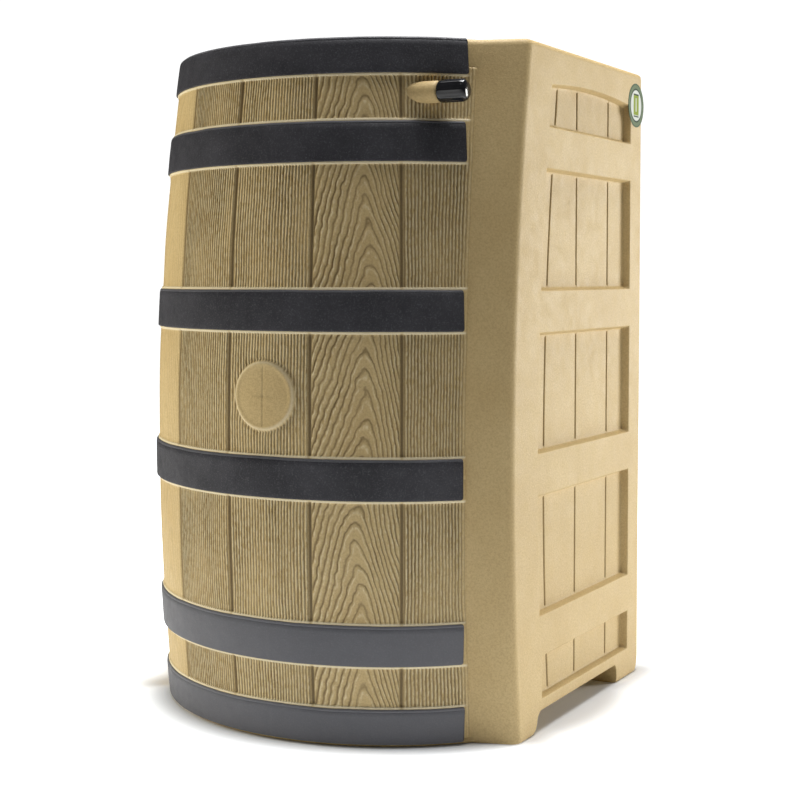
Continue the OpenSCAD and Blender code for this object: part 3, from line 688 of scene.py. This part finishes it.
def bung(x, z):
    """Height of the bung disc, how much of the grain it covers, its dark marks and a painted highlight just
    inside its rim.
    """
    far = np.hypot(x, z - BUNG_Z)
    up = np.interp(far, [0, BUNG_R - 9.0, BUNG_R - 5.0, BUNG_R - 2.0, BUNG_R - 0.3, BUNG_R + 1.5, BUNG_R + 5],
                   [BUNG_T, BUNG_T, BUNG_T * 1.25, BUNG_T * 0.95, 0, -0.8, 0])
    cover = 1 - smooth(BUNG_R - 1.0, BUNG_R + 0.6, far)
    line = np.maximum(np.exp(-(x / 0.9) ** 2) * (np.abs(z - BUNG_Z) < 36),
                      0.7 * np.exp(-((z - BUNG_Z) / 1.1) ** 2) * (np.abs(x) < 15))
    pin = np.exp(-(far / 1.7) ** 2)
    # painted highlight: a pale band just inside the disc's rim
    edge = np.exp(-((far - BUNG_R + 2.4) / 1.9) ** 2)
    return up - 0.45 * line * cover - 0.8 * pin, cover, np.maximum(line * 0.5, pin) * cover, edge


def skin_rows(z0, z1):
    marks = [z0, z1]
    fine = []
    for lo, hi in HOOP_EDGES:
        marks += [lo + 6, hi - 6]
        marks += [lo - LIP_W + k for k in (-1.3, -0.5, 0.1, 0.8)] + [lo + 1.0]
        marks += [hi + LIP_W - k for k in (-1.3, -0.5, 0.1, 0.8)] + [hi - 1.0]
        fine.append((lo - LIP_W - 1.3, hi + LIP_W + 1.3))
    marks = sorted(m for m in marks if z0 <= m <= z1)
    out = []
    for a, b in zip(marks, marks[1:]):
        hidden = any(lo - 0.1 < a and b < hi + 0.1 for lo, hi in fine)
        out.append(a)
        if hidden:
            out += spaced(a, b, 16)
            continue
        c = a
        while c < b - 1.6:
            near_rim = min(abs(c - (BUNG_Z - BUNG_R + 2)), abs(c - (BUNG_Z + BUNG_R - 2)))
            step = 1.1 if near_rim < 7 else 2.0 if abs(c - BUNG_Z) < BUNG_R else 3.2
            c += step
            if c < b - 1.0:
                out.append(c)
    return np.array(sorted(set(np.round(out + [marks[-1]], 3))))


def stave_skin(name, z0, z1):
    z = skin_rows(z0, z1)
    theta, stave, place = skin_columns(z)
    n, m = theta.shape
    zz = np.repeat(z[:, None], m, 1)
    r = stave_r(zz)
    x = r * np.sin(theta)
    phase, thin, amount = grain(stave, place, zz)
    cut = (0.5 - 0.5 * np.sin(2 * np.pi * phase)) ** (1 + GRAIN_THIN * thin)
    lit = (0.5 + 0.5 * np.sin(2 * np.pi * phase + GRAIN_LEAD)) ** (1 + GRAIN_THIN * thin)
    up_bung, cover, bung_line, bung_rim_highlight = bung(x, zz)
    cover = cover * (stave[None, :] >= 2)
    # grooves between the staves
    groove = np.zeros_like(x)
    for x0 in STAVE_JOINTS:
        off = np.abs(theta - joint_angle(x0, z)[:, None]) * r
        deep = 0.75 if x0 == FAINT_JOINT else 1.0
        groove = np.maximum(groove, deep * np.interp(off, [0, 1.1, 2.3, 3.8], [1, 0.88, 0.30, 0]))
    away = 1 - smooth(0.0, 0.4, groove)
    seam = np.exp(-(x / 0.8) ** 2) * (1 - cover)
    right = junction_angle(z)[:, None]
    fade = smooth(0.0, 14.0, (right - theta) * r)
    amount = amount * away * (1 - cover) * (0.25 + 0.75 * fade)
    h = amount * (0.35 * lit - 0.75 * cut)
    h += 0.10 * waves(x, zz, 4.5, 41) * (1 - cover) + 0.5 * waves(x, zz, 120, 42, 2)
    h = h - 2.5 * groove + 0.35 * seam * (amount > 0) + np.where(stave[None, :] >= 2, up_bung, 0)
    # lips along the hoops, and the flat ribs under them
    lip = np.zeros_like(x)
    under = np.zeros_like(x)
    for lo, hi in HOOP_EDGES:
        rise = np.interp(np.minimum(zz - (lo - LIP_W), (hi + LIP_W) - zz), [-0.8, 0.0, 0.8], [0, 0.7, 1])
        end = hoop_end((lo, hi))
        side = 1 - smooth(end - 3.0, end + 1.5, x)
        rise = rise * side
        hide = (zz > lo + 0.5) & (zz < hi - 0.5)
        under = np.maximum(under, rise)
        lip = np.maximum(lip, rise * ~hide)
    wobble = 0.25 * waves(theta * 300, zz, 25, 51, 2)
    h = h * (1 - under) + (LIP_T + wobble * lip - 0.5 * groove * lip) * under
    h = np.where(under > 0.99, np.minimum(h, LIP_T + 0.25), h)
    h = h - 1.6 * (1 - smooth(-0.5, 3.0, (right - theta) * r))
    rad = r + h
    outer = np.stack([rad * np.sin(theta), AXIS_Y - rad * np.cos(theta), zz], -1).reshape(-1, 3)
    # inner side, on far fewer rows
    pick = np.unique(np.concatenate([[0], np.arange(0, n, 24)[1:-1], [n - 1]]))
    rin = r[pick] - VENEER_T - 0.6
    tin = theta[pick]
    inner = np.stack([rin * np.sin(tin), AXIS_Y - rin * np.cos(tin), zz[pick]], -1).reshape(-1, 3)
    q = len(pick)
    base = n * m
    faces = [grid(n, m), grid(q, m, first=base)[:, ::-1]]
    j = np.arange(m - 1)
    bottom = np.stack([base + j, base + j + 1, j + 1, j], -1)
    top_o, top_i = (n - 1) * m, base + (q - 1) * m
    top = np.stack([top_o + j, top_o + j + 1, top_i + j + 1, top_i + j], -1)
    faces[0] = np.concatenate([faces[0], bottom, top])
    tris = []
    for col, flip in ((0, False), (m - 1, True)):
        i, k = 0, 0
        while i < n - 1 or k < q - 1:
            o, e = i * m + col, base + k * m + col
            if k == q - 1 or (i < n - 1 and z[i + 1] <= z[pick[k + 1]]):
                t = (o, o + m, e)
                i += 1
            else:
                t = (o, e + m, e)
                k += 1
            tris.append(t[::-1] if flip else t)
    pad = np.zeros(len(inner))
    keep = 1 - under
    # groove: dark joints with painted shade between the staves, and the bung disc's dark marks
    attrs = {"phase": phase, "sharp": thin, "amount": amount * keep,
             "groove": np.maximum(groove * keep, bung_line * 0.6),
             "lip": np.maximum(lip * (1 - 0.6 * groove), 0.5 * bung_rim_highlight * cover)}
    attrs = {key: np.concatenate([values.ravel(), pad]) for key, values in attrs.items()}
    faces.append(np.array(tris)[:, ::-1])
    add_mesh(name, np.concatenate([outer, inner]), faces, tan_grain, attrs=attrs)


# ---------------------------------------------------------------- hoops
def hoop_skin(i):
    lo, hi = HOOP_EDGES[i]
    # height from an edge (below 0: from the upper one), stand-out from the staves, share of the painted
    # highlight along the upper edge
    section = [(0, 1.0, 0), (0, 2.7, 0), (0.3, 3.4, 0), (0.9, 3.85, 0), (1.9, HOOP_OUT, 0)]
    section += [(v, HOOP_OUT, 0) for v in spaced(1.9, hi - lo - 4.4, 6)]
    section += [(-4.4, HOOP_OUT, 0), (-3.9, 3.6, 0), (-3.3, 3.35, 0), (-2.8, 3.6, 0.6), (-2.2, 3.7, 1),
                (-1.2, 3.2, 1), (-0.4, 2.4, 1), (0.0, 1.7, 0.6), (0.0, 1.0, 0)]
    top = len(section) - 2
    up = np.array([(hi + v if v < 0 or k >= top else lo + v) for k, (v, _, _) in enumerate(section)], float)
    off, rim = np.array(section, float).T[1:]
    end = float(np.arcsin(hoop_end((lo, hi)) / (stave_r((lo + hi) / 2) + HOOP_OUT)))
    arc = BULGE_R * (end - HOOP_LEFT)
    far = filled([0, 0.3, 1, 2, 3.4, 5.2, 8, arc], 3.0)[::-1]
    theta = end - far / BULGE_R
    radius = 3.2
    shrink = radius - np.sqrt(np.clip(radius ** 2 - np.clip(radius - far, 0, radius) ** 2, 0, None))
    thin = np.interp(far, [0, 0.3, 1, 2, 3.4], [0.45, 0.65, 0.86, 0.97, 1])
    t, u = theta[:, None], up[None, :]
    mid = (lo + hi) / 2
    z = mid + (u - mid) * (1 - shrink[:, None] / ((hi - lo) / 2))
    o = 1.0 + (off[None, :] - 1.0) * thin[:, None]
    s = t * BULGE_R
    face = smooth(1.5, 4, u - lo) * (1 - smooth(hi - 5, hi - 4, u))
    o = o + face * (0.22 * waves(s, z, 45, 61 + i) + 0.07 * waves(s, z, 9, 71 + i)) * thin[:, None]
    o = o - 0.35 * np.exp(-(s / 0.9) ** 2) * (o > 2)
    z = z + 0.35 * waves(s, z * 0, 60, 81 + i) * (0.3 + 0.7 * (u > mid))
    z = np.clip(z, 3.5, BODY_H)
    r = stave_r(z) + np.minimum(o, HOOP_OUT + 0.15)
    verts = np.stack([r * np.sin(t), AXIS_Y - r * np.cos(t), z], -1)
    n, m = z.shape
    faces = grid(n, m, wrap=True)[:, ::-1]
    first = np.arange(m)[None, :]
    last = (n - 1) * m + np.arange(m)[::-1][None, :]
    ends = np.concatenate([first, last])[:, ::-1]
    add_mesh(f"hoop_skin_{i + 1}", verts.reshape(-1, 3), [faces, ends], hoop_mat,
             attrs={"rim": rim[None, :] * thin[:, None]}, replaced=[f"hoop_{i + 1}"])


# ---------------------------------------------------------------- overflow
def lathe(name, profile, place, material, body="tank", segments=64, shape=None, replaced=()):
    """Closed solid from a profile of (distance, radius) turned round an axis along X through place."""
    prof = np.array(profile, float)
    a = np.linspace(0, 2 * math.pi, segments, endpoint=False)
    w = np.array([1.0, 0, 0])
    u = np.array([0, 0, 1.0])
    v = np.cross(w, u)
    rad = prof[:, 1][:, None] * np.ones_like(a)[None, :]
    if shape is not None:
        rad = shape(prof[:, 0][:, None], rad, a[None, :])
    pts = np.array(place, float) + prof[:, 0][:, None, None] * w + \
        rad[..., None] * (np.cos(a)[None, :, None] * u + np.sin(a)[None, :, None] * v)
    n, m = rad.shape
    ends = np.stack([np.arange(m), (n - 1) * m + np.arange(m)[::-1]])
    faces = [grid(n, m, wrap=True)[:, ::-1], ends]
    add_mesh(name, pts.reshape(-1, 3), faces, material, body, replaced=replaced)


def overflow_boss():
    """Moulded spout that the overflow comes out of: it swells out of the stave towards the cap."""
    along = [0, 3, 7, 12, 18, 25, 33, 42, 52, 60, 64, 66.5, 68, 68.6]
    radius = [1.5, 5.0, 7.4, 9.3, 10.8, 11.9, 12.6, 12.9, 13.0, 13.0, 12.9, 12.5, 11.6, 10.0]
    start = BOSS_END - along[-1]

    lathe("overflow_boss", list(zip(along, radius)), (start, OVERFLOW_Y, OVERFLOW_Z), tan_plain)


def overflow_cap():
    """Glossy screw cap with broad flats between its grip ridges and a rounded outer end."""
    lo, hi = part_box("overflow_cap")
    start, end = lo.x / MM, hi.x / MM
    length = end - start
    prof = [(0.0, 9.7), (0.0, 11.6), (0.4, 12.3), (1.2, 12.8), (2.4, 13.0), (6, 13.0)]
    prof += [(v, 13.0) for v in (12, 18, 24, length - 8)]
    prof += [(length - back, radius) for back, radius in
             ((6, 12.9), (4, 12.4), (2.4, 11.4), (1.2, 9.9), (0.4, 8.0), (0, 5.5), (0, 0.6))]

    def shape(s, rad, a):
        flat = 0.5 + 0.5 * np.cos(a * 8)
        ridge = 0.8 * (flat ** 3) - 0.35
        mask = smooth(1.0, 4.0, s) * (1 - smooth(length - 5.5, length - 2.0, s))
        return rad + ridge * mask * (rad > 8)

    lathe("overflow_cap_shell", prof, (start, OVERFLOW_Y, OVERFLOW_Z), cap_mat,
          body="overflow_cap", segments=128, shape=shape, replaced=["overflow_cap"])


# ---------------------------------------------------------------- CAD nodes that stay
def keep_node(name, material, width):
    obj = nodes[name]
    obj.data.materials.clear()
    obj.data.materials.append(material)
    for p in obj.data.polygons:
        p.material_index = 0
    bevel = obj.modifiers.new("soft_edges", "BEVEL")
    bevel.width = width
    bevel.segments = 2
    bevel.limit_method = "ANGLE"
    bevel.angle_limit = math.radians(38)
    bevel.harden_normals = True


camera = bpy.data.objects.new("camera", bpy.data.cameras.new("camera"))
bpy.context.scene.collection.objects.link(camera)
bpy.context.scene.camera = camera
CAMERA_PLACE = (1.0253, -1.8118, 0.5586)
CAMERA_YAW, CAMERA_PITCH = math.radians(28.67), math.radians(2.783)
camera.data.sensor_width = 36.0
camera.data.lens = 69.85
camera.data.shift_y = -0.06
camera.location = CAMERA_PLACE
camera.rotation_euler = (math.pi / 2 - CAMERA_PITCH, 0, CAMERA_YAW)

tank_body()
stave_skin("staves_upper", 320.0, VENEER_Z[1])
stave_skin("staves_lower", VENEER_Z[0], 320.0)
for i in range(6):
    hoop_skin(i)
overflow_boss()
overflow_cap()

KEPT = {
    "side_label": (label_mat, 0.0001), "overflow_nipple": (black_mat, 0.0005),
    "overflow_washer": (rubber_mat, 0.0003), "inlet_gasket": (rubber_mat, 0.0005),
    "inlet_collar": (black_mat, 0.0012), "inlet_screws": (steel_mat, 0.0004),
    "strainer_basket": (black_mat, 0.0008), "strainer_mesh": (mesh_mat, 0.0002),
    "spigot_gasket": (rubber_mat, 0.0004), "spigot_inner_washer": (rubber_mat, 0.0004),
    "spigot_locknut": (brass_mat, 0.0008), "spigot_body": (brass_mat, 0.0009),
    "spigot_outlet": (brass_mat, 0.0008), "spigot_ball_seats": (seat_mat, 0.0003),
    "spigot_ball": (polished_mat, 0.0004), "spigot_stem": (steel_mat, 0.0004),
    "spigot_packing": (seat_mat, 0.0003), "spigot_packing_nut": (brass_mat, 0.0006),
    "spigot_lever": (steel_mat, 0.0007), "spigot_lever_grip": (vinyl_mat, 0.0012),
    "spigot_lever_nut": (steel_mat, 0.0005),
}
for name, (material, width) in KEPT.items():
    keep_node(name, material, width)

# ---------------------------------------------------------------- stage, light and view
FLOOR_HALF = 12.0
# The tank's outline on the floor: a box at the rear and a circle at the front, in metres
FOOT_HALF_X, FOOT_MID_Y, FOOT_HALF_Y, FOOT_R = 0.27, 0.08, 0.19, 0.29
# How far from that outline the floor's glow is whole, where it fades again, and its level on the tank
GLOW_WHOLE = 0.075
GLOW_FADES = (0.25, 1.1)
GLOW_NEAR = 0.70
# Level of the floor and the backdrop as the camera sees them, and of the light from all round
SEEN_WHITE = 1.1
WORLD_LEVEL = 0.05

floor_mesh = bpy.data.meshes.new("floor")
floor_mesh.from_pydata([(FLOOR_HALF * x, FLOOR_HALF * y, 0) for x, y in ((-1, -1), (1, -1), (1, 1), (-1, 1))],
                       [], [(0, 1, 2, 3)])
floor = bpy.data.objects.new("floor", floor_mesh)
bpy.context.scene.collection.objects.link(floor)
white = Nodes("studio_floor")


def diagonal(a, b):
    return white.math("SQRT", white.math("ADD", white.math("MULTIPLY", a, a), white.math("MULTIPLY", b, b)))


side = white.math("SUBTRACT", white.math("ABSOLUTE", white.axis(0)), FOOT_HALF_X)
deep = white.math("ABSOLUTE", white.math("SUBTRACT", white.axis(1), FOOT_MID_Y))
deep = white.math("SUBTRACT", deep, FOOT_HALF_Y)
from_rear = diagonal(white.math("MAXIMUM", side, 0.0), white.math("MAXIMUM", deep, 0.0))
off_axis = white.math("SUBTRACT", white.axis(1), AXIS_Y * MM)
from_front = white.math("SUBTRACT", diagonal(white.axis(0), off_axis), FOOT_R)
gap = white.math("MINIMUM", from_rear, from_front)
seen_here = white.add("ShaderNodeLightPath", out=0)
rise = white.span(gap, 0.0, GLOW_WHOLE, interpolation_type="SMOOTHSTEP")
fall = white.span(gap, *GLOW_FADES, GLOW_NEAR, 0.0, interpolation_type="SMOOTHSTEP")
level = white.math("ADD", white.math("MULTIPLY", seen_here, SEEN_WHITE),
                   white.math("MULTIPLY", white.math("SUBTRACT", 1.0, seen_here), fall))
white.tree.links.new(white.math("MULTIPLY", rise, level), white.bsdf.inputs["Emission Strength"])
pale_floor = white.mix(white.span(white.noise(2.0), 0.3, 0.7), (0.80, 0.81, 0.83), (0.82, 0.82, 0.83))
floor_mesh.materials.append(white.finish(pale_floor, 0.9, None, Specular_IOR_Level=0.0,
                                         Emission_Color=(0.93, 0.97, 1.0, 1.0)))

world = bpy.data.worlds.new("studio")
bpy.context.scene.world = world
world.use_nodes = True
tree = world.node_tree
back = tree.nodes["Background"]
back.inputs["Strength"].default_value = WORLD_LEVEL
back.inputs["Color"].default_value = (0.93, 0.96, 1.0, 1)
seen = tree.nodes.new("ShaderNodeBackground")
seen.inputs["Strength"].default_value = SEEN_WHITE
seen.inputs["Color"].default_value = (1.0, 1.0, 1.0, 1)
path = tree.nodes.new("ShaderNodeLightPath")
pick = tree.nodes.new("ShaderNodeMixShader")
tree.links.new(path.outputs["Is Camera Ray"], pick.inputs[0])
tree.links.new(back.outputs[0], pick.inputs[1])
tree.links.new(seen.outputs[0], pick.inputs[2])
tree.links.new(pick.outputs[0], tree.nodes["World Output"].inputs[0])


def softbox(name, place, target, size, power, color=(1, 1, 1)):
    """Rectangular area light at place, turned towards target, in metres and watts."""
    data = bpy.data.lights.new(name, "AREA")
    data.shape = "RECTANGLE"
    data.size, data.size_y = size
    data.energy = power
    data.color = color
    obj = bpy.data.objects.new(name, data)
    bpy.context.scene.collection.objects.link(obj)
    obj.location = place
    obj.rotation_euler = (Vector(target) - Vector(place)).to_track_quat("-Z", "Y").to_euler()
    return obj


softbox("key", (2.3, 2.9, 0.65), (0.2, 0.0, 0.30), (1.6, 1.1), 106.0, (1.0, 0.985, 0.93))
softbox("overhead", (0.1, -0.1, 3.4), (0.0, 0.0, 0.0), (2.4, 2.4), 48.0)
softbox("top", (0.25, 0.1, 2.2), (0.05, 0.0, 0.0), (0.9, 0.9), 34.0)
left = softbox("left", (-2.9, -1.0, 0.9), (-0.25, -0.1, 0.42), (1.2, 1.8), 80.0, (1.0, 0.96, 0.84))
left.visible_glossy = False
bpy.context.scene.view_settings.view_transform = "Standard"
